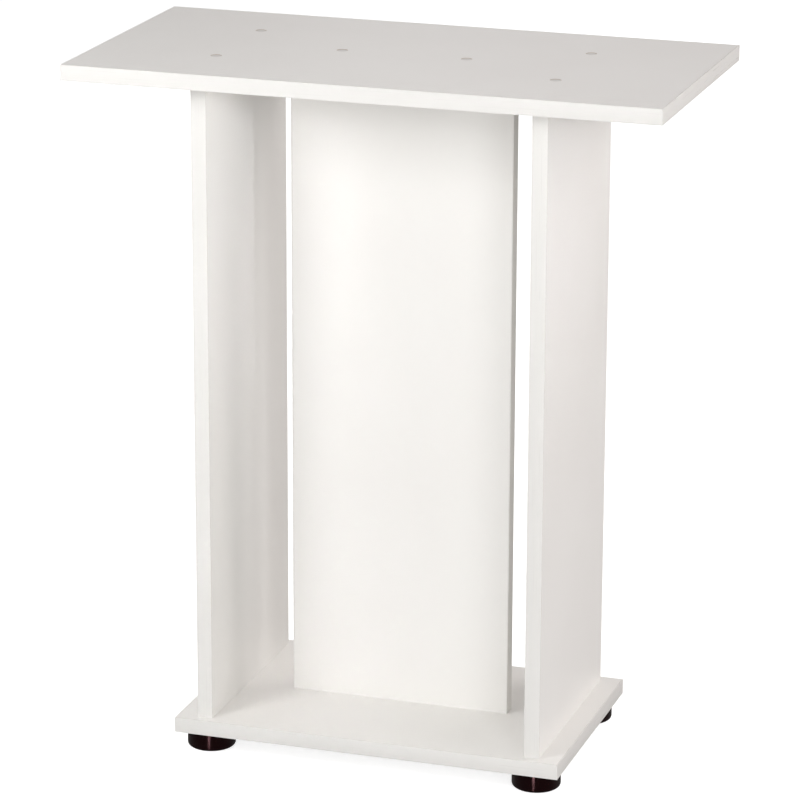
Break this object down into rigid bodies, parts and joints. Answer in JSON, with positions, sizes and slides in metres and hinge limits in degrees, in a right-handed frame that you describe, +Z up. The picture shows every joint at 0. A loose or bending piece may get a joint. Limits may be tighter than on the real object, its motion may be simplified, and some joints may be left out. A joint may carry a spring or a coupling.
{
  "type": "aquarium stand",
  "caption": "Open white flat-pack aquarium stand: wide top board on side panels and a narrower centre panel, over a base board on low round feet.",
  "frame": {"origin": "on the floor, below the middle of the stand: the centre of the bounding box's bottom", "axes": "+X to the right seen from the front, +Y to the back, +Z up"},
  "size_m": [0.61, 0.31, 0.72],
  "materials": {
    "white_melamine": "satin",
    "edge_band": "satin",
    "foot_plastic": "gloss",
    "cap_plastic": "satin",
    "zinc_steel": "satin",
    "beech_dowel": "matte"
  },
  "bodies": {
    "root": {"top_board": "white_melamine", "base_board": "white_melamine", "left_side_panel": "white_melamine", "centre_panel": "white_melamine", "right_side_panel": "white_melamine", "top_board_front_band": "edge_band", "top_board_back_band": "edge_band", "top_board_left_band": "edge_band", "top_board_right_band": "edge_band", "base_board_front_band": "edge_band", "base_board_back_band": "edge_band", "base_board_left_band": "edge_band", "base_board_right_band": "edge_band", "left_side_panel_front_band": "edge_band", "left_side_panel_back_band": "edge_band", "centre_panel_left_band": "edge_band", "centre_panel_right_band": "edge_band", "right_side_panel_front_band": "edge_band", "right_side_panel_back_band": "edge_band", "top_screw_left_front": "zinc_steel", "top_screw_left_back": "zinc_steel", "top_screw_centre_left": "zinc_steel", "top_screw_centre_right": "zinc_steel", "top_screw_right_front": "zinc_steel", "top_screw_right_back": "zinc_steel", "screw_cap_left_front": "cap_plastic", "screw_cap_left_back": "cap_plastic", "screw_cap_centre_left": "cap_plastic", "screw_cap_centre_right": "cap_plastic", "screw_cap_right_front": "cap_plastic", "screw_cap_right_back": "cap_plastic", "base_screw_left_front": "zinc_steel", "base_screw_left_back": "zinc_steel", "base_screw_centre_left": "zinc_steel", "base_screw_centre_right": "zinc_steel", "base_screw_right_front": "zinc_steel", "base_screw_right_back": "zinc_steel", "top_dowel_left_front": "beech_dowel", "top_dowel_left_back": "beech_dowel", "top_dowel_centre_left": "beech_dowel", "top_dowel_centre_right": "beech_dowel", "top_dowel_right_front": "beech_dowel", "top_dowel_right_back": "beech_dowel", "base_dowel_left_front": "beech_dowel", "base_dowel_left_back": "beech_dowel", "base_dowel_centre_left": "beech_dowel", "base_dowel_centre_right": "beech_dowel", "base_dowel_right_front": "beech_dowel", "base_dowel_right_back": "beech_dowel", "foot_front_left": "foot_plastic", "foot_front_right": "foot_plastic", "foot_back_left": "foot_plastic", "foot_back_right": "foot_plastic", "foot_screw_front_left": "zinc_steel", "foot_screw_front_right": "zinc_steel", "foot_screw_back_left": "zinc_steel", "foot_screw_back_right": "zinc_steel"}
  },
  "joints": []
}
